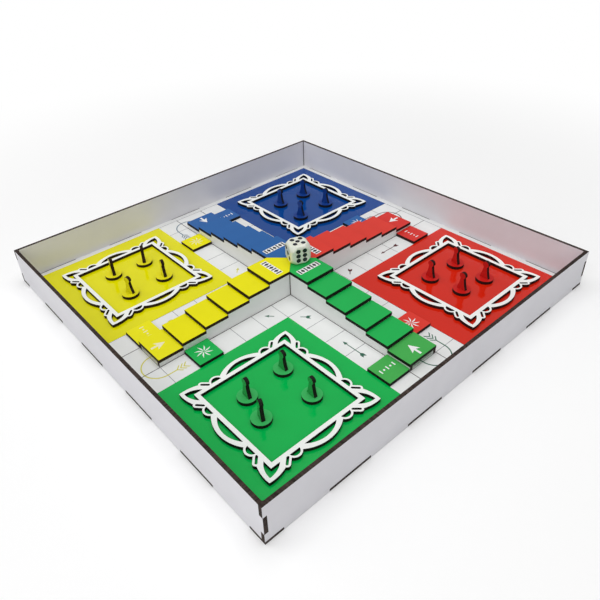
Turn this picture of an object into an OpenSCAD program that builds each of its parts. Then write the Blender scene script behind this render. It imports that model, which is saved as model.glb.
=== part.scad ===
// Ludo board in a square tray, cut from thin laminated sheet.
// Four stepped tracks climb from the lanes to a raised home platform in the middle.
// Each corner yard carries an open ornamental frame and four two-piece pawns, and one die
// stands on the platform. Millimetres, +Z up, origin at the middle of the tray's underside,
// walls along X and Y. The green yard is at -X -Y; the others follow clockwise from above.

/* [Board layout] */
// Length of one cell along a track
cell = 18.8; // [14:0.1:24]
// Cells along the edge of a yard
yard_cells = 6; // [5:1:7]
// Width of the plain lane on each side of a stepped track
lane_w = 19; // [15:0.5:25]
// Width of a stepped track over its treads
track_w = 26.2; // [22:0.2:36]
// White border between the yards and the walls
border = 5.1; // [3:0.1:15]
// Thickness of the coloured sheet stuck on each yard
print_t = 0.2; // [0.1:0.05:0.5]

/* [Tray] */
// Thickness of the base sheet
base_t = 2; // [1.5:0.5:4]
// Thickness of the four wall sheets
wall_t = 2.5; // [2:0.5:4]
// Height of the walls from the underside to the rim
wall_h = 29; // [26:1:45]
// Height of the top and of the bottom corner finger, the base counted in
finger_h = 8; // [6:0.5:10]
// Length of the base tab that shows beside each corner
corner_tab = 9.4; // [6:0.1:14]
// Clearance at the sides of every finger, tab and slot
fit = 0.1; // [0.05:0.05:0.2]

/* [Stepped tracks] */
// Thickness of the sheet that treads, tiles, frames, rails and pawns are cut from
sheet_t = 2.5; // [2:0.25:3]
// Height of the rails under the first tread
first_rail_h = 3.5; // [3:0.25:6]
// Rise from one tread to the next
rise = 3; // [2.75:0.25:4]
// Number of treads on each track
treads = 5; // [3:1:5]
// How far a tread stands out past its two rails
tread_lip = 0.2; // [0:0.1:1]
// Seam between neighbouring tiles, treads and plates
seam = 0.2; // [0.1:0.05:0.4]
// Length of a rail's tab in the base
rail_tab = 14; // [8:1:18]

/* [Ornamental frames] */
// Width of the square opening
frame_open = 67.4; // [60:0.2:76]
// Width of the plain band round the opening
frame_band = 2.8; // [2:0.1:4]
// Half the chord of the large arc on each side
arc_half = 18.2; // [16:0.2:21]
// How far the large arc stands out from the band
arc_rise = 7.2; // [5.6:0.2:9]
// Width of the strip at the top of the large arc
arc_strip = 2.6; // [1.6:0.1:3.2]
// Width of that strip where it meets the band
arc_foot = 5.8; // [4.5:0.1:7]
// Distance of a scallop from the middle of the side
scallop_x = 19.7; // [19:0.1:21]
// Half the chord of a scallop
scallop_half = 4.9; // [4.2:0.1:5.2]
// How far a scallop stands out from the band
scallop_rise = 4.4; // [3.6:0.1:4.8]
// Width of the strip that forms a scallop
scallop_strip = 1.3; // [0.9:0.1:1.6]
// Width of the slanted lobe between scallop and leaf
lobe_w = 4.2; // [3.4:0.1:5]
// Width of the slot in the lobe
lobe_slot = 1.6; // [1:0.1:2]
// How far the point of the corner leaf stands out from the band, each way
leaf_reach = 6.4; // [5.5:0.1:8]
// Radius of the leaf's outer edges
leaf_r = 26; // [22:1:40]
// How far the point of the leaf's opening stays inside the leaf's point, each way
leaf_strip = 2.2; // [1.6:0.1:3]
// How far the leaf's opening runs along the band from the corner
leaf_hole_l = 6.3; // [5:0.1:7]
// Radius of the curved edges of that opening
leaf_hole_r = 13.6; // [12:0.1:20]

/* [Pawns] */
// Diameter of the round foot
foot_d = 13; // [11:0.5:16]
// Height of the flat figure above the foot
figure_h = 14.2; // [12:0.1:18]
// Width of the figure where it meets the foot
figure_w = 7.4; // [6.6:0.2:9]
// Width of the figure's neck
neck_w = 3; // [2.2:0.2:3.6]
// Radius of the figure's drawn-in flanks
flank_r = 42; // [34:1:60]
// Diameter of the figure's head
head_d = 5; // [4.2:0.2:6]
// Width of the tab that locks the figure in the foot
figure_tab = 4.6; // [3:0.2:6]

/* [Die] */
// Width over the faces of the die
die_w = 16; // [12:0.5:18]
// Radius of the die's rounded edges
die_edge_r = 3.4; // [1:0.1:4]
// Width over the blunted corners as a share of the width over the faces
die_corner = 1.42; // [1.34:0.02:1.7]
// Radius of a pip
pip_r = 1.45; // [0.8:0.05:1.6]
// Depth of a pip
pip_depth = 0.5; // [0.2:0.05:0.6]
// Distance of the outer pips from the middle of a face, each way
pip_step = 3.3; // [2.6:0.1:4]
// Distance between neighbouring pips in a row of the six
six_row = 3.8; // [3.2:0.1:4.2]
// Distance of each row of the six from the middle of the face
six_off = 2.5; // [1.8:0.1:3.6]
// Where the die stands on the platform along X, from its middle
die_x = 2.2; // [-5:0.1:5]
// Where the die stands on the platform along Y, from its middle
die_y = -5.6; // [-6:0.1:6]
// Turn of the die about the vertical
die_turn = -21; // [-45:1:45]

/* [Hidden] */
$fn = 64;
eps = 0.01;
COLOURS = ["green", "yellow", "blue", "red"];
YARD_PAINT = [[0.12, 0.68, 0.36], [0.9, 0.9, 0.16], [0.22, 0.4, 0.66], [0.84, 0.24, 0.2]];
WHITE = [0.93, 0.93, 0.94];
IVORY = [0.88, 0.89, 0.82];

yard_w = yard_cells * cell;
yard_in = track_w / 2 + lane_w;
yard_mid = yard_in + yard_w / 2;
inner_w = 2 * (yard_in + yard_w + border);
tray_w = inner_w + 2 * wall_t;
// Between the corner tabs, the teeth of a wall and the tabs of the base take turns along an edge
wall_teeth = 5;
tab_l = (inner_w - 2 * corner_tab) / (2 * wall_teeth - 1);
TAB_MIDDLES = [for (k = [0:wall_teeth - 1]) (2 * k + 1 - wall_teeth) * tab_l];
// How far a tab, tooth or neck reaches into the sheet that carries it
root = 1;
// Rails stand in pairs under the treads and cross under the platform
rail_mid = track_w / 2 - tread_lip - sheet_t / 2;
rail_top = first_rail_h + treads * rise;
platform_z = base_t + rail_top + sheet_t;
rail_tab_out = yard_in + treads * cell / 2;
RAIL_TABS = [-rail_tab_out, 0, rail_tab_out];
frame_z = base_t + print_t;
band_half = frame_open / 2 + frame_band;
// Ends of a lobe's middle line and end of a leaf's outer edge, along and away from the side,
// measured from the corner of the band
LOBE_OUT = [8.1, 3.7];
LOBE_IN = [11.4, 0.6];
LEAF_END = [7.5, 4.2];
neck_h = figure_h - head_d;
// Where each frame is glued, from the middle of its yard
FRAMES = [[0.3, 1.1], [2.3, -0.8], [0.6, -1.2], [2.9, 1.3]];
// Place of each pawn from the middle of its yard, and the turn of its figure
PAWNS = [
    [[-13, 14.8, 84], [18.4, 17.9, 88], [-17.6, -4.4, 72], [16.2, -11.3, 86]],
    [[-9.4, 15.3, 80], [17.8, 14.3, 66], [-12, -17, 108], [18.7, -15.1, 82]],
    [[-14.5, 11, 98], [13.7, 10.3, 108], [-16.9, -19.8, 107], [15.8, -18.3, 100]],
    [[-11.8, 15.9, 86], [17, 13.9, 76], [-8.3, -9.9, 86], [15.9, -13.2, 86]],
];
YARD_PLACE = [[-1, -1], [-1, 1], [1, 1], [1, -1]];

// Centre of the circle of radius r through points a and b, on the right of the way from a to b
function arc_centre(a, b, r) =
    let (d = b - a, len = norm(d), n = [d.y, -d.x] / len)
    (a + b) / 2 + n * sqrt(r * r - len * len / 4);

// Turns what is drawn for the green yard and its track to those of colour i
module for_colour(i) {
    rotate([0, 0, -90 * i]) children();
}

// Rectangle from x0 to x1 and y0 to y1
module block(x0, x1, y0, y1, z0, h) {
    translate([x0, y0, z0]) cube([x1 - x0, y1 - y0, h]);
}

module base_panel() {
    color(WHITE) difference() {
        block(-tray_w / 2, tray_w / 2, -tray_w / 2, tray_w / 2, 0, base_t);
        // Notches for the wall teeth
        for (i = [0:3], m = TAB_MIDDLES)
            for_colour(i)
                block(m - tab_l / 2, m + tab_l / 2, -tray_w / 2 - eps, -inner_w / 2,
                      -eps, base_t + 2 * eps);
        // Slots for the rail tabs
        for (s = [-1, 1], m = RAIL_TABS) {
            rail_slot(s * rail_mid, m);
            rotate([0, 0, 90]) rail_slot(s * rail_mid, m);
        }
    }
}

// Slot for one tab of a rail that runs along Y at x
module rail_slot(x, y) {
    half_l = rail_tab / 2 + fit;
    half_t = sheet_t / 2 + fit;
    block(x - half_t, x + half_t, y - half_l, y + half_l, -eps, base_t + 2 * eps);
}

// Wall along the front edge. A long wall holds the top and bottom corner fingers,
// a short wall the middle ones
module wall_sheet(long_wall) {
    full = tray_w / 2;
    short = inner_w / 2 - fit;
    color(WHITE) translate([0, -inner_w / 2, 0]) rotate([90, 0, 0]) linear_extrude(wall_t) {
        if (long_wall) {
            span(short, base_t, wall_h);
            span(full, base_t, finger_h);
            span(full, wall_h - finger_h, wall_h);
        } else {
            span(short, base_t, wall_h);
            span(full, finger_h + fit, wall_h - finger_h - fit);
        }
        for (m = TAB_MIDDLES)
            translate([m - tab_l / 2 + fit, 0]) square([tab_l - 2 * fit, base_t + root]);
    }
}

// Rectangle centred on the Y axis of a profile, from height z0 to z1
module span(half_w, z0, z1) {
    translate([-half_w, z0]) square([2 * half_w, z1 - z0]);
}

module yard_sheet(i) {
    color(YARD_PAINT[i]) for_colour(i)
        block(-yard_in - yard_w, -yard_in, -yard_in - yard_w, -yard_in, base_t, print_t);
}

// Disc that bulges out of a straight line by rise over a chord of 2 * half
module bulge(half, rise) {
    r = (half * half + rise * rise) / (2 * rise);
    translate([0, rise - r]) circle(r);
}

// Strip of width w with round ends centred on a and b
module rounded_strip(a, b, w) {
    way = b - a;
    for (end = [a, b]) translate(end) circle(d = w);
    translate((a + b) / 2) rotate(atan2(way.y, way.x)) square([norm(way), w], center = true);
}

// Pointed leaf across the corner of the band, with its point at reach and its upper edge through end
module leaf(reach, end, r) {
    c = arc_centre([-reach, reach], end, r);
    translate([-band_half, band_half]) intersection() {
        translate(c) circle(r);
        translate([-c.y, -c.x]) circle(r);
    }
}

// One side's arc, scallops and lobes, solid or as their openings, drawn on the band's top edge
module side_ornament(open) {
    translate([0, band_half]) {
        if (open) bulge(arc_half - arc_foot, arc_rise - arc_strip);
        else bulge(arc_half, arc_rise);
        for (s = [-1, 1]) {
            translate([s * scallop_x, 0])
                if (open) bulge(scallop_half - scallop_strip, scallop_rise - scallop_strip);
                else bulge(scallop_half, scallop_rise);
            rounded_strip([s * (band_half - LOBE_OUT.x), LOBE_OUT.y],
                          [s * (band_half - LOBE_IN.x), LOBE_IN.y], open ? lobe_slot : lobe_w);
        }
    }
}

// Outline of the open ornamental frame, centred on the origin
module frame_outline() {
    difference() {
        for (q = [0:3]) rotate(90 * q) {
            side_ornament(false);
            leaf(leaf_reach, LEAF_END, leaf_r);
        }
        square(2 * band_half, center = true);
        for (q = [0:3]) rotate(90 * q) {
            side_ornament(true);
            leaf(leaf_reach - leaf_strip, [leaf_hole_l, 0], leaf_hole_r);
        }
    }
    difference() {
        square(2 * band_half, center = true);
        square(frame_open, center = true);
    }
}

module ornamental_frame(i) {
    spot = YARD_PLACE[i] * yard_mid + FRAMES[i];
    color(WHITE) translate([spot.x, spot.y, frame_z]) linear_extrude(sheet_t) frame_outline();
}

// Two lane tiles that flank a yard: the start tile in the second cell of its own track's lane,
// and the star tile in the third cell of the next track's lane
module lane_tiles(i) {
    g = seam / 2;
    start_far = yard_in + (yard_cells - 1) * cell;
    star_far = yard_in + (yard_cells - 2) * cell;
    color(YARD_PAINT[i]) for_colour(i) {
        block(-yard_in + g, -track_w / 2 - g, -start_far + g, -start_far + cell - g, base_t, sheet_t);
        block(-star_far + g, -star_far + cell - g, -yard_in + g, -track_w / 2 - g, base_t, sheet_t);
    }
}

// Stepped profile of a rail over its whole length, from track end to track end
module rail_profile() {
    for (k = [0:treads])
        span(yard_in + (treads - k) * cell - seam, 0, first_rail_h + k * rise);
    for (m = RAIL_TABS)
        translate([m - rail_tab / 2, -base_t]) square([rail_tab, base_t + root]);
}

// Pair of rails that run along Y. Their halving slots are open upwards or downwards
module rail_pair(open_up) {
    slot_w = sheet_t + 2 * fit;
    color(WHITE) for (side = [-1, 1])
        translate([side * rail_mid - sheet_t / 2, 0, base_t]) difference() {
            rotate([90, 0, 90]) linear_extrude(sheet_t) rail_profile();
            for (s = [-1, 1])
                translate([-eps, s * rail_mid - slot_w / 2, open_up ? rail_top / 2 : -base_t - eps])
                    cube([sheet_t + 2 * eps, slot_w, rail_top / 2 + base_t + 2 * eps]);
        }
}

// Treads of one track, the outermost first
module track_treads(i) {
    g = seam / 2;
    color(YARD_PAINT[i]) for_colour(i)
        for (k = [0:treads - 1]) {
            far = yard_in + (treads - k) * cell;
            block(-track_w / 2, track_w / 2, -far + g, -far + cell - g,
                  base_t + first_rail_h + k * rise, sheet_t);
        }
}

// Home plate: a rectangle with a point that reaches the middle of the board
module home_plate(i) {
    half = track_w / 2;
    g = seam / sqrt(2);
    color(YARD_PAINT[i]) for_colour(i)
        translate([0, 0, base_t + rail_top]) linear_extrude(sheet_t)
            polygon([[-half, -yard_in + seam / 2], [half, -yard_in + seam / 2],
                     [half, -half - g], [0, -g], [-half, -half - g]]);
}

// Moves a pawn piece drawn on the Z axis to its place on the yard
module at_pawn(i, p) {
    spot = PAWNS[i][p];
    yard = YARD_PLACE[i] * yard_mid;
    translate([yard.x + spot.x, yard.y + spot.y, frame_z]) rotate([0, 0, spot.z]) children();
}

module pawn_foot(i, p) {
    color(YARD_PAINT[i]) at_pawn(i, p) difference() {
        cylinder(d = foot_d, h = sheet_t);
        block(-figure_tab / 2 - fit, figure_tab / 2 + fit, -sheet_t / 2 - fit, sheet_t / 2 + fit,
              -eps, sheet_t + 2 * eps);
    }
}

// Flat figure: a slim body with drawn-in flanks, a round head and a tab through the foot
module pawn_figure(i, p) {
    color(YARD_PAINT[i]) at_pawn(i, p)
        translate([0, sheet_t / 2, sheet_t]) rotate([90, 0, 0]) linear_extrude(sheet_t) {
            difference() {
                polygon([[-figure_w / 2, 0], [figure_w / 2, 0],
                         [neck_w / 2, neck_h + root], [-neck_w / 2, neck_h + root]]);
                for (s = [0, 1]) mirror([s, 0])
                    translate(arc_centre([figure_w / 2, 0], [neck_w / 2, neck_h], flank_r))
                        circle(flank_r, $fn = 128);
            }
            translate([0, figure_h - head_d / 2]) circle(d = head_d);
            translate([-figure_tab / 2, -sheet_t]) square([figure_tab, sheet_t + root]);
        }
}

// Square with rounded corners, centred
module rounded_square(w, r) {
    square([w, w - 2 * r], center = true);
    square([w - 2 * r, w], center = true);
    for (x = [-1, 1], y = [-1, 1])
        translate([x, y] * (w / 2 - r)) circle(r);
}

// Places of the pips on a face, for each number of pips
function pips(n) =
    n == 6 ? [for (x = [-1, 1], y = [-1:1]) [x * six_off, y * six_row]] :
    pip_step * concat(n % 2 == 1 ? [[0, 0]] : [],
                      n > 1 ? [[-1, -1], [1, 1]] : [],
                      n > 3 ? [[-1, 1], [1, -1]] : []);

// Turn that brings the top face to each face of the die, with the pips it carries
FACES = [[[0, 0, 0], 5], [[180, 0, 0], 2], [[90, 0, 0], 6], [[-90, 0, 0], 1],
         [[0, -90, 0], 3], [[0, 90, 0], 4]];

module die() {
    bowl_r = (pip_r * pip_r + pip_depth * pip_depth) / (2 * pip_depth);
    color(IVORY) translate([die_x, die_y, platform_z + die_w / 2]) rotate([0, 0, die_turn])
        difference() {
            intersection() {
                for_axis(0) rounded_block();
                for_axis(1) rounded_block();
                for_axis(2) rounded_block();
                sphere(d = die_w * die_corner);
            }
            for (f = FACES) rotate(f[0])
                for (p = pips(f[1]))
                    translate([p.x, p.y, die_w / 2 - pip_depth + bowl_r])
                        sphere(bowl_r);
        }
}

module rounded_block() {
    translate([0, 0, -die_w / 2]) linear_extrude(die_w) rounded_square(die_w, die_edge_r);
}

// Turns a piece drawn along Z to lie along axis a
module for_axis(a) {
    rotate([a == 1 ? 90 : 0, a == 0 ? 90 : 0, 0]) children();
}

base_panel();
wall_sheet(true);  // wall_front
for_colour(1) wall_sheet(false);  // wall_left
for_colour(2) wall_sheet(true);  // wall_back
for_colour(3) wall_sheet(false);  // wall_right
rail_pair(true);  // rails_along_y
rotate([0, 0, 90]) rail_pair(false);  // rails_along_x
for (i = [0:3]) {
    yard_sheet(i);
    ornamental_frame(i);
    lane_tiles(i);
    track_treads(i);
    home_plate(i);
    for (p = [0:3]) {
        pawn_foot(i, p);
        pawn_figure(i, p);
    }
}
die();
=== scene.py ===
import math

import bmesh
import bpy
from mathutils import Matrix, Vector


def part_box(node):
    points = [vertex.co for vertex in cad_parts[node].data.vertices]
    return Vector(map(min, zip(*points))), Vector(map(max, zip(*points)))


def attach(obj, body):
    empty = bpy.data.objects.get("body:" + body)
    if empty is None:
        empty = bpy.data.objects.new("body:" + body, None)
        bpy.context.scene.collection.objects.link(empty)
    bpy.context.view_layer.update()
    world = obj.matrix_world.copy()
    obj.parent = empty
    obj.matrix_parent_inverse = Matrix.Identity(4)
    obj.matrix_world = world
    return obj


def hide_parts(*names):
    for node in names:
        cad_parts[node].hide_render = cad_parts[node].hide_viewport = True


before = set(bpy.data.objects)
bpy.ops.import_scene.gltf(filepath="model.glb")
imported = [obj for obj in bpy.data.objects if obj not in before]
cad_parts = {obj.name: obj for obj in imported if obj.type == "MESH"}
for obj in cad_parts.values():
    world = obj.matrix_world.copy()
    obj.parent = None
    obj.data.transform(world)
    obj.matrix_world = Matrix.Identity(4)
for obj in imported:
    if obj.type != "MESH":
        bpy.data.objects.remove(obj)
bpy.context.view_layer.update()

# Lengths are millimetres. Everything that is drawn for the green yard and its track, which
# runs along -Y, is turned clockwise by a quarter for each next colour
MM = 0.001
COLOURS = ("green", "yellow", "blue", "red")
PAWN_COUNT = 4
UP = (0, 0, 1)


def millimetres(node):
    """Lowest and highest corner of a CAD node"""
    low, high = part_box(node)
    return low / MM, high / MM


# Sizes taken from the frame
yard_low, yard_high = millimetres("yard_sheet_green")
tread_low, tread_high = millimetres("treads_green")
wall_low, wall_high = millimetres("wall_left")
die_low, die_high = millimetres("die")
BOARD_TOP = millimetres("base_panel")[1].z
TILE_TOP = millimetres("lane_tiles_green")[1].z
HOME_TOP = millimetres("home_plate_green")[1].z
SHEET = TILE_TOP - BOARD_TOP
FIRST_TREAD_TOP = tread_low.z + SHEET
TRACK_HALF = tread_high.x
YARD_IN = -yard_high.x
YARD_OUT = -yard_low.x
YARD_CELLS = 6
CELL = (YARD_OUT - YARD_IN) / YARD_CELLS
INNER_HALF = -wall_low.x - (wall_high.x - wall_low.x)
WALL_TOP = wall_high.z
RAIL_FACE = millimetres("rails_along_y")[1].x
TRACK_END = YARD_IN + 5 * CELL
LANE_MID = (TRACK_HALF + YARD_IN) / 2
START_ROW = YARD_IN + 4.5 * CELL
STAR_ROW = YARD_IN + 3.5 * CELL
# Thickness of a print, what each next outline adds to it, and how deep it is sunk
INK = 0.04
INK_STEP = 0.001
SUNK = 0.02


def linear(red, green, blue):
    """Linear colour of an sRGB colour given in 0 to 255"""
    return tuple(((c / 255 + 0.055) / 1.055) ** 2.4 if c > 10 else c / 255 / 12.92
                 for c in (red, green, blue)) + (1.0,)


WHITE_FACE = linear(236, 235, 240)
BOARD_FACE = linear(238, 239, 238)
FRAME_FACE = linear(250, 252, 249)
YARD_FACE = {"green": linear(0, 183, 79), "yellow": linear(238, 232, 0),
             "blue": linear(4, 69, 147), "red": linear(219, 36, 12)}
TILE_FACE = {"green": linear(30, 182, 84), "yellow": linear(242, 234, 8),
             "blue": linear(42, 101, 169), "red": linear(228, 61, 49)}
START_FACE = {"green": linear(72, 176, 82), "yellow": linear(243, 236, 24),
              "blue": linear(46, 100, 168), "red": linear(222, 50, 44)}
PAWN_FACE = {"green": linear(60, 182, 96), "yellow": linear(236, 228, 20),
             "blue": linear(22, 62, 140), "red": linear(204, 30, 26)}
# Faces of the figures: as the feet, but the green figures' upright faces are painted darker than their
# feet, as painted shade
FIGURE_FACE_GREEN_SHADED = dict(PAWN_FACE, green=linear(34, 158, 72))
LANE_INK = {"green": linear(42, 100, 78), "yellow": linear(216, 210, 84),
            "blue": linear(70, 106, 128), "red": linear(86, 28, 34)}
# Burnt edges, darkest and lightest: of the tray's own sheets, and of what is glued or stands in
# it, where the smoke has taken a little of the print's colour
TRAY_BURNT = (linear(30, 21, 18), linear(84, 70, 64))
BURNT = {"green": (linear(6, 11, 5), linear(30, 38, 24)),
         "yellow": (linear(24, 11, 2), linear(60, 40, 14)),
         "blue": (linear(5, 8, 18), linear(26, 31, 48)),
         "red": (linear(28, 6, 5), linear(64, 24, 20))}
# A sheet's surface is its face where it leans less than this cosine says, and else its cut edge
FACE_COSINE = 0.6
EDGE_ROUGHNESS = 0.85


class NodeTree:
    """A node tree under construction"""

    def __init__(self, tree):
        self.tree = tree
        self.tree.nodes.clear()

    def node(self, kind, **settings):
        made = self.tree.nodes.new(kind)
        for key, value in settings.items():
            setattr(made, key, value)
        return made

    def link(self, value, socket):
        """Links an output to a socket, or sets the socket to a plain value"""
        if isinstance(value, bpy.types.NodeSocket):
            self.tree.links.new(value, socket)
        else:
            socket.default_value = value


class Shader(NodeTree):
    """A node material under construction"""

    def __init__(self, name):
        self.material = bpy.data.materials.new(name)
        self.material.use_nodes = True
        super().__init__(self.material.node_tree)
        self.bsdf = self.node("ShaderNodeBsdfPrincipled")
        output = self.node("ShaderNodeOutputMaterial")
        self.link(self.bsdf.outputs["BSDF"], output.inputs["Surface"])
        self.coords = self.node("ShaderNodeTexCoord").outputs

    def math(self, operation, a, b=0.0, clamp=False):
        made = self.node("ShaderNodeMath", operation=operation, use_clamp=clamp)
        self.link(a, made.inputs[0])
        self.link(b, made.inputs[1])
        return made.outputs[0]

    def vector(self, operation, a, b=(0, 0, 0), scale=None):
        made = self.node("ShaderNodeVectorMath", operation=operation)
        self.link(a, made.inputs[0])
        self.link(b, made.inputs[1])
        if scale is not None:
            self.link(scale, made.inputs["Scale"])
        return made.outputs["Value" if operation == "DOT_PRODUCT" else "Vector"]

    def mix(self, factor, a, b):
        made = self.node("ShaderNodeMix", data_type="RGBA")
        self.link(factor, made.inputs["Factor"])
        self.link(a, made.inputs["A"])
        self.link(b, made.inputs["B"])
        return made.outputs["Result"]

    def spread(self, value, from_low, from_high, low=0.0, high=1.0, **settings):
        """Maps one range of a value to another"""
        made = self.node("ShaderNodeMapRange", **settings)
        self.link(value, made.inputs["Value"])
        self.link(from_low, made.inputs["From Min"])
        self.link(from_high, made.inputs["From Max"])
        self.link(low, made.inputs["To Min"])
        self.link(high, made.inputs["To Max"])
        return made.outputs["Result"]

    def noise(self, at, scale, detail=3.0, low=0.0, high=1.0):
        """Noise of that scale per metre, spread from low to high"""
        made = self.node("ShaderNodeTexNoise")
        self.link(at, made.inputs["Vector"])
        self.link(scale, made.inputs["Scale"])
        self.link(detail, made.inputs["Detail"])
        return self.spread(made.outputs["Fac"], 0.3, 0.7, low, high)

    def bump(self, height, strength, distance):
        made = self.node("ShaderNodeBump")
        self.link(height, made.inputs["Height"])
        self.link(strength, made.inputs["Strength"])
        self.link(distance, made.inputs["Distance"])
        self.link(made.outputs["Normal"], self.bsdf.inputs["Normal"])

    def set(self, **sockets):
        for name, value in sockets.items():
            self.link(value, self.bsdf.inputs[name.replace("_", " ")])


def shaded(colour, factor):
    """A colour made darker by a factor"""
    return tuple(c * factor for c in colour[:3]) + (1.0,)


def sheet_material(name, face, burnt, axis=UP, gloss=0.3, shine=0.25, start_face=None, start_way=None):
    """Laminated sheet: a satin or glossy face across the axis and burnt, streaked cut edges.
    Where start_way is given, the row of the start tile has a face colour of its own"""
    s = Shader(name)
    at = s.coords["Object"]
    across = s.vector("DOT_PRODUCT", s.coords["Normal"], axis)
    is_face = s.math("GREATER_THAN", s.math("ABSOLUTE", across), FACE_COSINE)

    # Face: slight clouds in the laminate, and a fine mottle
    colour = face
    if start_way:
        past = s.math("GREATER_THAN", s.vector("DOT_PRODUCT", at, start_way),
                      (START_ROW - CELL / 2) * MM)
        colour = s.mix(past, face, start_face)
    cloud = s.noise(at, scale=24.0, high=0.10)
    clouded = s.mix(cloud, colour, shaded(face, 0.6))
    mottle = s.noise(at, scale=90.0, detail=2.0, high=0.07)
    front = s.mix(mottle, clouded, shaded(face, 0.7))

    # Cut edge: streaks run through the thickness of the sheet
    along = s.vector("DOT_PRODUCT", at, axis)
    flattened = s.vector("SUBTRACT", at, s.vector("SCALE", axis, scale=s.math("MULTIPLY", along, 0.85)))
    streak = s.noise(flattened, scale=1300.0, detail=4.0)
    smoke = s.noise(at, scale=90.0)
    char = s.math("MULTIPLY", streak, s.math("ADD", s.math("MULTIPLY", smoke, 0.6), 0.4), clamp=True)
    edge = s.mix(char, burnt[0], burnt[1])

    rough_face = s.noise(at, scale=60.0, low=gloss * 0.85, high=gloss * 1.2)
    rough = s.math("ADD", s.math("MULTIPLY", is_face, rough_face),
                   s.math("MULTIPLY", s.math("SUBTRACT", 1.0, is_face), EDGE_ROUGHNESS))
    s.set(Base_Color=s.mix(is_face, edge, front), Roughness=rough, Specular_IOR_Level=shine)
    peel = s.noise(at, scale=420.0, detail=1.0)
    height = s.math("ADD", s.math("MULTIPLY", peel, 0.04),
                    s.math("MULTIPLY", s.math("SUBTRACT", 1.0, is_face), streak))
    s.bump(height, strength=0.2, distance=0.00008)
    return s.material


def ink_material(name, colour, gloss=0.35):
    """Printed ink, a little uneven"""
    s = Shader(name)
    at = s.coords["Object"]
    s.set(Base_Color=s.mix(s.noise(at, scale=900.0, high=0.25), colour, shaded(colour, 0.75)),
          Roughness=s.noise(at, scale=300.0, low=gloss * 0.9, high=gloss * 1.15))
    s.bump(s.noise(at, scale=1200.0, detail=1.0), strength=0.08, distance=0.00003)
    return s.material


def ivory_material():
    """Polished ivory plastic with faint clouds, a little translucent"""
    s = Shader("die_ivory")
    at = s.coords["Object"]
    cloud = s.noise(at, scale=160.0, high=0.35)
    s.set(Base_Color=s.mix(cloud, linear(236, 238, 226), linear(220, 224, 206)),
          Roughness=s.noise(at, scale=400.0, low=0.16, high=0.26),
          Subsurface_Weight=0.25, Subsurface_Radius=(1.0, 0.9, 0.6), Subsurface_Scale=0.0008,
          Coat_Weight=0.3, Coat_Roughness=0.08)
    s.bump(s.noise(at, scale=500.0, detail=1.0), strength=0.06, distance=0.00005)
    return s.material


def paint(node, material):
    """Gives a CAD node's material slots a material"""
    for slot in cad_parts[node].material_slots:
        slot.material = material


def turned(point, quarter):
    """A point that is drawn for the green yard, for the colour of that number"""
    x, y = point
    for _ in range(quarter):
        x, y = y, -x
    return x, y


def prism(bm, outline, z0, z1, quarter=0):
    """Closed prism over an outline, turned to a colour"""
    corners = [turned(p, quarter) for p in outline]
    low = [bm.verts.new((x * MM, y * MM, z0 * MM)) for x, y in corners]
    high = [bm.verts.new((x * MM, y * MM, z1 * MM)) for x, y in corners]
    bm.faces.new(high)
    bm.faces.new(low[::-1])
    for k in range(len(corners)):
        n = (k + 1) % len(corners)
        bm.faces.new((low[k], low[n], high[n], high[k]))


def rectangle(x0, x1, y0, y1):
    return [(x0, y0), (x1, y0), (x1, y1), (x0, y1)]


def band(points, width):
    """Outline of a line of that width through the points"""
    left, right = [], []
    for k, (x, y) in enumerate(points):
        ax, ay = points[max(k - 1, 0)]
        bx, by = points[min(k + 1, len(points) - 1)]
        length = math.hypot(bx - ax, by - ay)
        nx, ny = (by - ay) / length * width / 2, (ax - bx) / length * width / 2
        left.append((x - nx, y - ny))
        right.append((x + nx, y + ny))
    return right + left[::-1]


def placed(outline, x, y, degrees):
    """An outline drawn at the origin, turned and moved"""
    c, s = math.cos(math.radians(degrees)), math.sin(math.radians(degrees))
    return [(x + c * u - s * v, y + s * u + c * v) for u, v in outline]


def piece(name, bm, material, body="tray"):
    """Makes a mesh object that rides on a body"""
    bmesh.ops.recalc_face_normals(bm, faces=bm.faces)
    mesh = bpy.data.meshes.new(name)
    bm.to_mesh(mesh)
    bm.free()
    made = bpy.data.objects.new(name, mesh)
    bpy.context.scene.collection.objects.link(made)
    mesh.materials.append(material)
    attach(made, body)
    return made


def printed(name, outlines, top, material, quarter=0, lift=0.0):
    """Print of thin closed plates that lie on a surface at the height top, each a hair thicker
    than the one before, so that no two faces that cross lie in one plane"""
    bm = bmesh.new()
    for k, outline in enumerate(outlines):
        prism(bm, outline, top - SUNK, top + INK + lift + k * INK_STEP, quarter)
    return piece(name, bm, material)


# Roughness of a satin face, a glossy one and a glossy print
SATIN, GLOSSY, PRINT_GLOSS = 0.34, 0.22, 0.1
# Axis across each of the tray's own sheets
SHEET_FACES = {"base_panel": UP, "wall_front": (0, 1, 0), "wall_back": (0, 1, 0),
               "wall_left": (1, 0, 0), "wall_right": (1, 0, 0),
               "rails_along_y": (1, 0, 0), "rails_along_x": (0, 1, 0)}
# Turn of each pawn's figure about the vertical, in degrees
FIGURE_TURN = {"green": (84, 88, 72, 86), "yellow": (80, 66, 108, 82),
               "blue": (98, 108, 107, 100), "red": (86, 76, 86, 86)}


def paint_tray():
    """Base, walls and rails"""
    for node, axis in SHEET_FACES.items():
        face = WHITE_FACE if node.startswith("wall") else BOARD_FACE
        paint(node, sheet_material("laminate_" + node, face, TRAY_BURNT, axis, gloss=SATIN))


def paint_yard(colour):
    """Print on a yard, and the frame that lies on it"""
    burnt = BURNT[colour]
    paint("yard_sheet_" + colour,
          sheet_material("print_" + colour, YARD_FACE[colour], burnt, gloss=PRINT_GLOSS, shine=0.5))
    paint("frame_" + colour, sheet_material("frame_" + colour, FRAME_FACE, burnt, gloss=SATIN))


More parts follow.
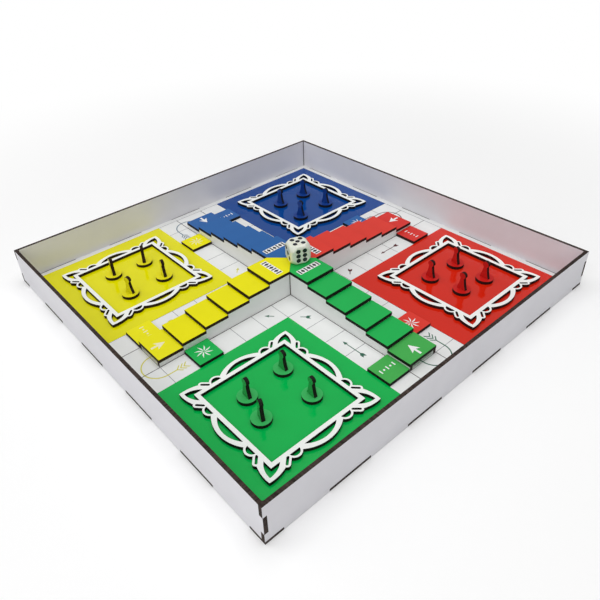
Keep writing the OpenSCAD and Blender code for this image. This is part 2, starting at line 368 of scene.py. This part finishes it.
def paint_track(quarter, colour):
    """Tiles, treads and home plate of a colour"""
    start_way = turned((0, -1), quarter) + (0,)
    tiles = sheet_material("sheet_" + colour, TILE_FACE[colour], BURNT[colour], gloss=GLOSSY,
                           start_face=START_FACE[colour], start_way=start_way)
    for kind in ("lane_tiles_", "treads_", "home_plate_"):
        paint(kind + colour, tiles)


def paint_pawns(colour):
    """Feet and figures of a colour's pawns"""
    burnt = BURNT[colour]
    feet = sheet_material("foot_" + colour, PAWN_FACE[colour], burnt, gloss=GLOSSY)
    for k in range(PAWN_COUNT):
        number = "_" + str(k + 1)
        paint("pawn_foot_" + colour + number, feet)
        turn = math.radians(FIGURE_TURN[colour][k])
        axis = (-math.sin(turn), math.cos(turn), 0)
        # The green figures' faces carry painted shade, darker than their feet
        figure = sheet_material("figure_" + colour + number, FIGURE_FACE_GREEN_SHADED[colour], burnt, axis,
                                gloss=GLOSSY)
        paint("pawn_figure_" + colour + number, figure)


paint_tray()
for quarter, colour in enumerate(COLOURS):
    paint_yard(colour)
    paint_track(quarter, colour)
    paint_pawns(colour)

# Prints on the board: width of a line, half the width of an arrow's shaft, and the plate on each
# home plate
LINE = 0.36
SHAFT_HALF = 0.32
HOME_ROW = -19.4
LABEL_W, LABEL_H = 20.0, 5.5


def lane_grid():
    """Thin lines round the lane cells on both sides of a track and beyond its end"""
    outlines = []
    for side in (-1, 1):
        near, far = side * TRACK_HALF, side * YARD_IN
        x0, x1 = min(near, far) + LINE / 2, max(near, far) - LINE / 2
        for k in range(YARD_CELLS + 1):
            y = -(YARD_IN + k * CELL)
            outlines.append(rectangle(x0, x1, y - LINE / 2, y + LINE / 2))
        outlines.append(rectangle(near - LINE / 2, near + LINE / 2, -YARD_OUT - LINE / 2, -TRACK_HALF))
        outlines.append(rectangle(far - LINE / 2, far + LINE / 2, -YARD_IN, -TRACK_HALF))
    x = TRACK_HALF - LINE / 2
    for y in (-TRACK_END, -YARD_OUT):
        outlines.append(rectangle(-x, x, y - LINE / 2, y + LINE / 2))
    return outlines


def arrow_head(length, width, notch):
    """Arrow head with its tip at the origin, pointing along +Y"""
    return [(0, 0), (-width / 2, -length), (0, -length + notch), (width / 2, -length)]


def fletching(back, front, half, slope, notch):
    """Tail of an arrow along +Y, pointed in front and notched at the back"""
    return [(0, front), (-half, front - slope), (-half, back), (0, back + notch), (half, back),
            (half, front - slope)]


def feather(width, slope, thickness):
    """Chevron that opens along +Y, with its point at the origin"""
    half = width / 2
    return [(0, 0), (half, slope), (half, slope + thickness), (0, thickness),
            (-half, slope + thickness), (-half, slope)]


def straight_arrow():
    """Arrow along the lane beside the yard"""
    x, tail, tip = -22.9, -97.4, -77.0
    head, notch, flight = 3.6, 0.5, 4.2
    return [placed(arrow_head(head, width=2.9, notch=notch), x, tip, 0),
            rectangle(x - SHAFT_HALF, x + SHAFT_HALF, tail + flight, tip - head + notch),
            placed(fletching(back=0, front=flight + 0.6, half=1.5, slope=1.9, notch=1.2), x, tail, 0)]


def corner_arrow():
    """Arrow from one lane to the next, hidden where it would cross the yard's corner"""
    tip, tail, turn = (-43.5, -19.3), (-19.8, -43.8), 44.0
    parts = ((arrow_head(length=3.6, width=2.8, notch=0.7), tip),
             (rectangle(-SHAFT_HALF, SHAFT_HALF, -7.0, -2.9), tip),
             (rectangle(-SHAFT_HALF, SHAFT_HALF, 3.4, 8.4), tail),
             (fletching(back=0.8, front=5.0, half=1.6, slope=1.6, notch=1.3), tail))
    return [placed(outline, x, y, turn) for outline, (x, y) in parts]


def return_arrow():
    """Round arrow from the lane beside the next yard into the track"""
    radius, y, lane_x, stop = 11.4, -126.0, 22.8, -118.4
    feathers, feather_step = 3, 2.6
    arc = [(radius - radius * math.cos(math.radians(a)), y - radius * math.sin(math.radians(a)))
           for a in range(0, 181, 10)]
    outlines = [band([(0, y + 2)] + arc + [(lane_x, stop)], width=0.85)]
    for k in range(feathers):
        row = stop - 1.2 + feather_step * k
        outlines.append(placed(feather(width=5.7, slope=2.9, thickness=1.05), lane_x, row, 0))
    return outlines


def tread_arrow():
    """Bold arrow on the first tread, from near its outer edge inwards"""
    tip, end = -113.2, -TRACK_END + 2.1
    half, barb, notch, stem = 3.8, 7.2, 1.4, 0.85
    return [[(0, tip), (-half, tip - barb), (-stem, tip - barb + notch), (-stem, end),
             (stem, end), (stem, tip - barb + notch), (half, tip - barb)]]


def star(points=8, reach=6.3, start=12):
    """Pinwheel star of curved blades"""
    blade = [(0.12, 0.35), (0.7, 1.9), (0.95, 3.4), (0.6, 4.9), (0, reach), (0, 4.4), (-0.1, 2.4)]
    return [placed(blade, -STAR_ROW, -LANE_MID, k * 360 / points + start) for k in range(points)]


def start_marks(count=5, pitch=2.9, bar=0.9, high=1.6, dot=0.75, inward=1.0):
    """Row of small bars and dots across the start tile"""
    y = -START_ROW + inward
    outlines = []
    for k in range(count):
        x = -LANE_MID + (k - (count - 1) / 2) * pitch
        if k % 2:
            angles = [math.radians(a) for a in range(0, 360, 30)]
            outlines.append([(x + dot * math.cos(a), y + dot * math.sin(a)) for a in angles])
        else:
            outlines.append(rectangle(x - bar / 2, x + bar / 2, y - high, y + high))
    return outlines


def home_label():
    """Plain plate across the home plate"""
    return [rectangle(-LABEL_W / 2, LABEL_W / 2, HOME_ROW - LABEL_H / 2, HOME_ROW + LABEL_H / 2)]


def home_marks(count=7, bar=1.15, margin=0.4):
    """Row of upright bars and diamonds in turn on that plate"""
    pitch = (LABEL_W - margin / 2) / count
    wide = (pitch - bar) * 0.8
    high = LABEL_H / 2 - margin
    outlines = []
    for k in range(count):
        x = (k - (count - 1) / 2) * pitch
        if k % 2:
            outlines.append([(x - wide, HOME_ROW), (x, HOME_ROW - high), (x + wide, HOME_ROW),
                             (x, HOME_ROW + high)])
        else:
            outlines.append(rectangle(x - bar / 2, x + bar / 2, HOME_ROW - high, HOME_ROW + high))
    return outlines


grey_ink = ink_material("ink_grey", linear(138, 139, 144))
white_ink = ink_material("ink_white", linear(246, 246, 246))
cream_ink = ink_material("ink_cream", linear(244, 238, 196))
dark_ink = ink_material("ink_dark", linear(24, 24, 30))


def add_prints(quarter, colour):
    """All prints of a colour"""
    pale_ink = cream_ink if colour == "yellow" else white_ink
    lane_ink = ink_material("ink_lane_" + colour, LANE_INK[colour])
    lane_arrows = straight_arrow() + corner_arrow() + return_arrow()
    printed("print_lane_lines_" + colour, lane_grid(), BOARD_TOP, grey_ink, quarter)
    printed("print_lane_arrows_" + colour, lane_arrows, BOARD_TOP, lane_ink, quarter,
            lift=0.02)
    printed("print_tread_arrow_" + colour, tread_arrow(), FIRST_TREAD_TOP, pale_ink, quarter)
    printed("print_star_" + colour, star(), TILE_TOP, pale_ink, quarter)
    printed("print_start_marks_" + colour, start_marks(), TILE_TOP, pale_ink, quarter)
    printed("print_home_label_" + colour, home_label(), HOME_TOP, white_ink, quarter)
    printed("print_home_marks_" + colour, home_marks(), HOME_TOP, dark_ink, quarter, lift=0.03)


# Seams: thin dark strips where cut sheets meet, partly the dark joint and partly painted shade in the
# crease between the sheets
SEAM = 0.45
WALL_TEETH = 5
WALL_CORNER_TAB = 9.4
TAB = 2 * (INNER_HALF - WALL_CORNER_TAB) / (2 * WALL_TEETH - 1)
seam_joint_and_shade = ink_material("seam_joint_and_shade", linear(58, 50, 48), gloss=0.8)


def foot_seams():
    """Seams, dark joint and painted shade, at the foot of a track's rails and under the tabs of the
    wall at its end
    """
    outlines = []
    for side in (-1, 1):
        face, out = side * RAIL_FACE, side * (RAIL_FACE + SEAM)
        outlines.append(rectangle(min(face, out), max(face, out), -YARD_OUT, -RAIL_FACE))
    for k in range(1 - WALL_TEETH, WALL_TEETH, 2):
        middle = k * TAB
        outlines.append(rectangle(middle - TAB / 2, middle + TAB / 2, -INNER_HALF, -INNER_HALF + SEAM))
    return outlines


def corner_seams(quarter):
    """Upright seams, dark joint and painted shade, where two rails cross under the home plates and
    where two walls meet
    """
    bm = bmesh.new()
    for reach, top in ((-RAIL_FACE - SEAM, HOME_TOP - SHEET), (-INNER_HALF, WALL_TOP)):
        prism(bm, rectangle(reach, reach + SEAM, reach, reach + SEAM), BOARD_TOP, top - SUNK, quarter)
    return bm


for quarter, colour in enumerate(COLOURS):
    add_prints(quarter, colour)
for quarter, colour in enumerate(COLOURS):
    printed("seams_foot_" + colour, foot_seams(), BOARD_TOP, seam_joint_and_shade, quarter,
            lift=0.03)
    piece("seams_corner_" + colour, corner_seams(quarter), seam_joint_and_shade)

# Die: a rounded block, its corners cut by a ball, with shallow bowls and dark paint that lines them.
# The pips lie well inside the ball, so that their bowls are sunk in the faces of the block
DIE_TURN = -21
DIE_ROUND = 2.7
DIE_BALL = 10.7
DIE_CELLS = 56
BOWL_RADIUS = 1.88
PIP_RADIUS = 1.75
PIP_DEPTH = 0.5
PIP_STEP = 3.2
PIP_RINGS, PIP_SEGMENTS = 5, 28
SIX_ROW = 3.85
SIX_OFF = 2.5
PAINT = 0.03
DIE_HALF = (die_high.z - die_low.z) / 2
DIE_FLAT = DIE_HALF - DIE_ROUND
# Right angles about X and Y that bring the top face to each side, and the pips there
DIE_FACES = ((0, 0, 5), (2, 0, 2), (1, 0, 6), (-1, 0, 1), (0, -1, 3), (0, 1, 4))
RIGHT_ANGLE = math.pi / 2


def pip_places(count):
    """Places of the pips on a face"""
    if count == 6:
        return [(x * SIX_OFF, y * SIX_ROW) for x in (-1, 1) for y in (-1, 0, 1)]
    places = [(0, 0)] if count % 2 else []
    places += [(-1, -1), (1, 1)] if count > 1 else []
    places += [(-1, 1), (1, -1)] if count > 3 else []
    return [(x * PIP_STEP, y * PIP_STEP) for x, y in places]


def bowl(distance):
    """Depth of a bowl at a distance from its middle"""
    return PIP_DEPTH * max(0.0, 1 - (distance / BOWL_RADIUS) ** 2)


def face_height(x, y):
    """Height of a face of the rounded block over its middle"""
    dx, dy = max(abs(x) - DIE_FLAT, 0), max(abs(y) - DIE_FLAT, 0)
    return DIE_FLAT + math.sqrt(DIE_ROUND ** 2 - dx ** 2 - dy ** 2)


def block_point(a, b):
    """Point of the block's top face for a place from -1 to 1 across it"""
    on_cube = Vector((math.tan(a * math.pi / 4), math.tan(b * math.pi / 4), 1)) * DIE_HALF
    core = Vector([min(max(c, -DIE_FLAT), DIE_FLAT) for c in on_cube])
    point = core + (on_cube - core).normalized() * DIE_ROUND
    return point * min(1, DIE_BALL / point.length)


def die_face(bm, matrix, pips):
    """One face of the die with its bowls"""
    rows = []
    for i in range(DIE_CELLS + 1):
        row = []
        for j in range(DIE_CELLS + 1):
            point = block_point(2 * i / DIE_CELLS - 1, 2 * j / DIE_CELLS - 1)
            point.z -= sum(bowl(math.hypot(point.x - px, point.y - py)) for px, py in pips)
            row.append(bm.verts.new(matrix @ point * MM))
        rows.append(row)
    for i in range(DIE_CELLS):
        for j in range(DIE_CELLS):
            bm.faces.new((rows[i][j], rows[i + 1][j], rows[i + 1][j + 1], rows[i][j + 1]))


def dish_skin(bm, matrix, px, py, lift):
    """Middle and rings of one skin of the paint in a bowl"""
    rings = []
    for k in range(PIP_RINGS + 1):
        radius = PIP_RADIUS * k / PIP_RINGS
        ring = []
        for n in range(PIP_SEGMENTS if k else 1):
            angle = 2 * math.pi * n / PIP_SEGMENTS
            x, y = px + radius * math.cos(angle), py + radius * math.sin(angle)
            point = Vector((x, y, face_height(x, y) - bowl(radius) + lift))
            ring.append(bm.verts.new(matrix @ point * MM))
        rings.append(ring)
    return rings


def pip_paint(bm, matrix, px, py):
    """Paint that lines one bowl: a thin closed dish that ends just inside the bowl's rim"""
    upper = dish_skin(bm, matrix, px, py, PAINT)
    under = dish_skin(bm, matrix, px, py, -PAINT)
    for n in range(PIP_SEGMENTS):
        m = (n + 1) % PIP_SEGMENTS
        for skin in (upper, under):
            bm.faces.new((skin[0][0], skin[1][n], skin[1][m]))
            for k in range(1, PIP_RINGS):
                bm.faces.new((skin[k][n], skin[k + 1][n], skin[k + 1][m], skin[k][m]))
        bm.faces.new((upper[-1][n], under[-1][n], under[-1][m], upper[-1][m]))


def add_die():
    """The die in place of its plain solid, and its pips"""
    block, dishes = bmesh.new(), bmesh.new()
    middle = Matrix.Translation((die_low + die_high) / 2)
    place = middle @ Matrix.Rotation(math.radians(DIE_TURN), 4, "Z")
    for about_x, about_y, count in DIE_FACES:
        turn = (Matrix.Rotation(about_y * RIGHT_ANGLE, 4, "Y")
                @ Matrix.Rotation(about_x * RIGHT_ANGLE, 4, "X"))
        pips = pip_places(count)
        die_face(block, place @ turn, pips)
        for px, py in pips:
            pip_paint(dishes, place @ turn, px, py)
    bmesh.ops.remove_doubles(block, verts=block.verts, dist=0.000001)
    rounded_die = piece("rounded_die", block, ivory_material(), "die")
    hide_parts("die")
    pip_ink = ink_material("pip_paint", linear(16, 19, 34), gloss=0.25)
    die_pips = piece("die_pips", dishes, pip_ink, "die")
    for made in (rounded_die, die_pips):
        for face in made.data.polygons:
            face.use_smooth = True


add_die()

# Camera, solved from the straight edges in the photograph: it looks at a point on the board.
# The focal length and the middle of the picture are in its pixels
LOOK_AT = Vector((9.58, 16.47, BOARD_TOP)) * MM
AZIMUTH, ELEVATION, ROLL = (math.radians(a) for a in (39.668, 33.955, -2.758))
DISTANCE = 478.0 * MM
IMAGE_SIDE = 600
FOCAL_PIXELS = 597.56
CENTRE_U, CENTRE_V = 287.36, 266.97
SENSOR = 36.0


def add_camera():
    """The photograph's camera"""
    back = Vector((-math.sin(AZIMUTH) * math.cos(ELEVATION), -math.cos(AZIMUTH) * math.cos(ELEVATION),
                   math.sin(ELEVATION)))
    level_right = (-back).cross(Vector(UP)).normalized()
    level_up = back.cross(level_right)
    right = math.cos(ROLL) * level_right + math.sin(ROLL) * level_up
    up = -math.sin(ROLL) * level_right + math.cos(ROLL) * level_up
    data = bpy.data.cameras.new("camera")
    camera = bpy.data.objects.new("camera", data)
    bpy.context.scene.collection.objects.link(camera)
    turn = Matrix((right, up, back)).transposed().to_4x4()
    camera.matrix_world = Matrix.Translation(LOOK_AT + back * DISTANCE) @ turn
    data.sensor_width = SENSOR
    data.lens = FOCAL_PIXELS / IMAGE_SIDE * SENSOR
    data.shift_x = (IMAGE_SIDE / 2 - CENTRE_U) / IMAGE_SIDE
    data.shift_y = (CENTRE_V - IMAGE_SIDE / 2) / IMAGE_SIDE
    data.clip_start = 0.01
    bpy.context.scene.camera = camera


# Floor: its sizes, and where it fades to white, in metres, and its glow for the camera
FLOOR_HALF = 3.0
FLOOR_DROP = 0.0002
FLOOR_GLOW = 0.16
FADE_FROM, FADE_TO = 0.24, 0.6


def floor_material():
    """Plain and pale round the tray, and white further out for the camera, as the backdrop is"""
    s = Shader("floor")
    at = s.coords["Object"]
    reach = s.node("ShaderNodeVectorMath", operation="LENGTH")
    s.link(at, reach.inputs[0])
    fade = s.spread(reach.outputs["Value"], FADE_FROM, FADE_TO, interpolation_type="SMOOTHSTEP")
    ray = s.node("ShaderNodeLightPath").outputs["Is Camera Ray"]
    white_out = s.math("MULTIPLY", ray, fade)
    tone = s.mix(s.noise(at, scale=2.0), linear(238, 238, 238), linear(240, 240, 240))
    glow = s.math("ADD", s.math("MULTIPLY", ray, FLOOR_GLOW),
                  s.math("MULTIPLY", white_out, 1 - FLOOR_GLOW))
    s.set(Base_Color=s.mix(white_out, tone, (0, 0, 0, 1)), Roughness=0.9, Specular_IOR_Level=0.0,
          Emission_Color=(1, 1, 1, 1), Emission_Strength=glow)
    return s.material


def add_floor():
    corners = [(x, y, 0) for x, y in rectangle(-FLOOR_HALF, FLOOR_HALF, -FLOOR_HALF, FLOOR_HALF)]
    mesh = bpy.data.meshes.new("floor")
    mesh.from_pydata(corners, [], [(0, 1, 2, 3)])
    mesh.materials.append(floor_material())
    floor = bpy.data.objects.new("floor", mesh)
    floor.location.z = -FLOOR_DROP
    bpy.context.scene.collection.objects.link(floor)


# Soft square lamps that look at the origin: place and size in metres, and power in watts
LAMPS = {"overhead": ((0.1, 0.0, 1.6), 1.4, 14.5), "key": ((-0.8, 1.0, 1.2), 1.2, 5.6),
         "left_fill": ((-1.1, -0.6, 0.8), 1.2, 6.4), "front_fill": ((0.35, -1.25, 0.8), 1.2, 1.3)}
WORLD_LIGHT, WORLD_REFLECTED, WORLD_SEEN = 0.2, 0.4, 1.0


def add_lamps():
    for name, (place, size, power) in LAMPS.items():
        data = bpy.data.lights.new(name, "AREA")
        data.energy = power
        data.size = size
        lamp = bpy.data.objects.new(name, data)
        bpy.context.scene.collection.objects.link(lamp)
        lamp.location = place
        lamp.rotation_mode = "QUATERNION"
        lamp.rotation_quaternion = (-Vector(place)).to_track_quat("-Z", "Y")


def add_world():
    """Dim for plain light, brighter in reflections and white behind the tray"""
    world = bpy.data.worlds.new("studio")
    bpy.context.scene.world = world
    world.use_nodes = True
    tree = NodeTree(world.node_tree)
    rays = tree.node("ShaderNodeLightPath").outputs
    strength = WORLD_LIGHT
    for ray, value in (("Is Glossy Ray", WORLD_REFLECTED), ("Is Camera Ray", WORLD_SEEN)):
        chosen = tree.node("ShaderNodeMix")
        tree.link(rays[ray], chosen.inputs["Factor"])
        tree.link(strength, chosen.inputs["A"])
        tree.link(value, chosen.inputs["B"])
        strength = chosen.outputs["Result"]
    background = tree.node("ShaderNodeBackground")
    tree.link((1, 1, 1, 1), background.inputs["Color"])
    tree.link(strength, background.inputs["Strength"])
    tree.link(background.outputs["Background"], tree.node("ShaderNodeOutputWorld").inputs["Surface"])


add_camera()
add_floor()
add_lamps()
add_world()
bpy.context.scene.view_settings.view_transform = "Standard"
